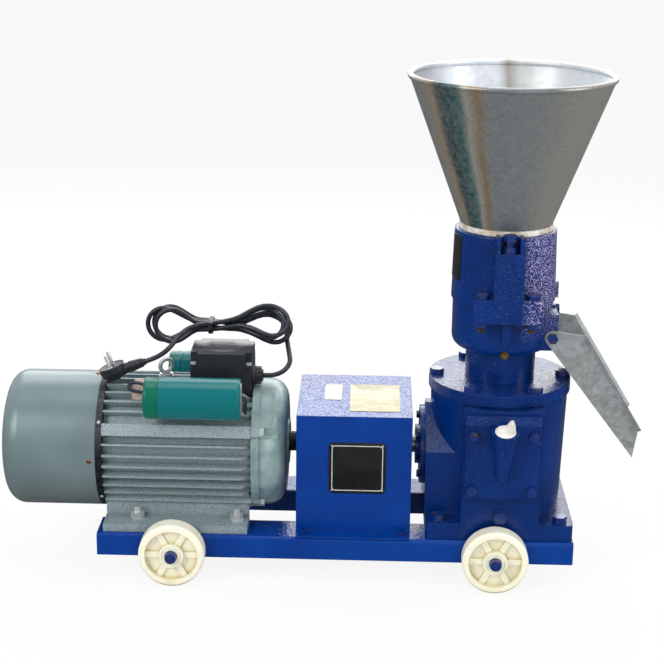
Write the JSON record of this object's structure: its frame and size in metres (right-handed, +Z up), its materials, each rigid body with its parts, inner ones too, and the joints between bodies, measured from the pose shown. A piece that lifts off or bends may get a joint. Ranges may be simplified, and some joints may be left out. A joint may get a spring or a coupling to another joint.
{
  "type": "feed pellet mill",
  "caption": "Wheeled flat-die feed pellet mill: a capacitor motor drives a bevel gearbox under a rotating die with press rollers, a feed hopper and a discharge chute.",
  "frame": {"origin": "on the floor, under the middle of the machine's outline without its cord", "axes": "+X along the machine from the motor towards the mill, -Y towards the front with the inspection cover, +Z up"},
  "size_m": [0.888, 0.2966, 0.695],
  "materials": {
    "blue_paint": "glossy blue enamel",
    "bolt_paint": "blue enamel over bolt heads",
    "motor_paint": "hammered grey enamel",
    "cover_paint": "smooth grey enamel",
    "zinc": "zinc plated",
    "steel": "machined steel",
    "dark_steel": "bare cast iron and hardened steel",
    "nylon": "ivory nylon",
    "teal_plastic": "teal plastic case",
    "black_plastic": "black moulded plastic",
    "cord_black": "black cable sheath",
    "spider_rubber": "red polyurethane rubber",
    "brass": "bare brass",
    "copper": "enamelled copper windings and laminations",
    "galvanised": "galvanised sheet",
    "white_plastic": "white plastic"
  },
  "bodies": {
    "machine": {"chassis_rails": "blue_paint", "cross_members": "blue_paint", "axle_pins": "bolt_paint", "motor_frame": "motor_paint", "drive_end_shield": "motor_paint", "fan_end_shield": "dark_steel", "fan_cover": "cover_paint", "stator_core": "copper", "motor_bearings": "steel", "shield_bolts": "zinc", "motor_foot_bolts": "zinc", "terminal_box": "black_plastic", "terminal_box_lid": "black_plastic", "lid_screws": "zinc", "cable_gland": "black_plastic", "start_capacitor": "teal_plastic", "run_capacitor": "teal_plastic", "eye_bolt": "zinc", "cord_lead": "cord_black", "cord_hank": "cord_black", "cord_tail": "cord_black", "power_plug": "black_plastic", "coupling_guard": "blue_paint", "guard_bolts": "bolt_paint", "gearbox_housing": "blue_paint", "input_bearing_cap": "blue_paint", "gearbox_bearings": "steel", "inspection_cover": "blue_paint", "filler_plug": "white_plastic", "cover_bolts": "bolt_paint", "drain_plug": "bolt_paint", "gearbox_foot_bolts": "bolt_paint", "gearbox_top_cover": "blue_paint", "top_cover_bolts": "bolt_paint", "lower_chamber": "blue_paint", "grease_nipple": "brass", "pellet_knife": "steel", "lock_nuts": "bolt_paint", "upper_chamber": "blue_paint", "chamber_bolts": "bolt_paint", "hopper": "galvanised"},
    "rotor": {"rotor_shaft": "steel", "cooling_fan": "black_plastic", "coupling_motor_hub": "dark_steel"},
    "input_shaft": {"pinion_shaft": "steel", "coupling_mill_hub": "dark_steel", "coupling_spider": "spider_rubber"},
    "main_drive": {"main_shaft": "steel", "bevel_gear": "steel", "flat_die": "steel"},
    "roller_carriage": {"roller_shaft": "steel"},
    "front_roller": {"front_roller": "dark_steel"},
    "rear_roller": {"rear_roller": "dark_steel"},
    "front_screw": {"front_screw": "bolt_paint"},
    "rear_screw": {"rear_screw": "bolt_paint"},
    "chute": {"discharge_chute": "galvanised"},
    "wheel_motor_front": {"wheel_motor_front": "nylon"},
    "wheel_motor_rear": {"wheel_motor_rear": "nylon"},
    "wheel_mill_front": {"wheel_mill_front": "nylon"},
    "wheel_mill_rear": {"wheel_mill_rear": "nylon"}
  },
  "joints": [
    {"name": "motor_spin", "type": "hinge", "parent": "machine", "child": "rotor", "pos_m": [-0.11605, 0.00634, 0.1645], "axis": [1, 0, 0], "continuous": true},
    {"name": "input_spin", "type": "hinge", "parent": "machine", "child": "input_shaft", "pos_m": [0.15895, 0.00634, 0.1645], "axis": [1, 0, 0], "continuous": true},
    {"name": "main_spin", "type": "hinge", "parent": "machine", "child": "main_drive", "pos_m": [0.24895, 0.00634, 0.3], "axis": [0, 0, 1], "continuous": true},
    {"name": "roller_height", "type": "slide", "parent": "machine", "child": "roller_carriage", "axis": [0, 0, 1], "range_m": [0, 0.004]},
    {"name": "front_roller_spin", "type": "hinge", "parent": "roller_carriage", "child": "front_roller", "pos_m": [0.24895, -0.02966, 0.4253], "axis": [0, 1, 0], "continuous": true},
    {"name": "rear_roller_spin", "type": "hinge", "parent": "roller_carriage", "child": "rear_roller", "pos_m": [0.24895, 0.04234, 0.4253], "axis": [0, 1, 0], "continuous": true},
    {"name": "front_screw_turn", "type": "hinge", "parent": "roller_carriage", "child": "front_screw", "pos_m": [0.24895, -0.07366, 0.47], "axis": [0, 0, 1], "range_deg": [0, 825]},
    {"name": "rear_screw_turn", "type": "hinge", "parent": "roller_carriage", "child": "rear_screw", "pos_m": [0.24895, 0.08634, 0.47], "axis": [0, 0, 1], "range_deg": [0, 825]},
    {"name": "chute_tilt", "type": "hinge", "parent": "machine", "child": "chute", "pos_m": [0.31495, 0.00634, 0.3415], "axis": [0, -1, 0], "range_deg": [0, 40]},
    {"name": "wheel_motor_front_spin", "type": "hinge", "parent": "machine", "child": "wheel_motor_front", "pos_m": [-0.20205, -0.12266, 0.0455], "axis": [0, 1, 0], "continuous": true},
    {"name": "wheel_motor_rear_spin", "type": "hinge", "parent": "machine", "child": "wheel_motor_rear", "pos_m": [-0.20205, 0.13534, 0.0455], "axis": [0, 1, 0], "continuous": true},
    {"name": "wheel_mill_front_spin", "type": "hinge", "parent": "machine", "child": "wheel_mill_front", "pos_m": [0.24295, -0.12266, 0.0455], "axis": [0, 1, 0], "continuous": true},
    {"name": "wheel_mill_rear_spin", "type": "hinge", "parent": "machine", "child": "wheel_mill_rear", "pos_m": [0.24295, 0.13534, 0.0455], "axis": [0, 1, 0], "continuous": true}
  ],
  "couplings": [
    {"joint": "input_spin", "follows": "motor_spin", "ratio": 1},
    {"joint": "main_spin", "follows": "motor_spin", "ratio": -0.33333},
    {"joint": "front_roller_spin", "follows": "motor_spin", "ratio": 0.41379},
    {"joint": "rear_roller_spin", "follows": "motor_spin", "ratio": -0.41379},
    {"joint": "front_screw_turn", "follows": "roller_height", "rad_per_m": 3590.4},
    {"joint": "rear_screw_turn", "follows": "roller_height", "rad_per_m": 3590.4}
  ]
}
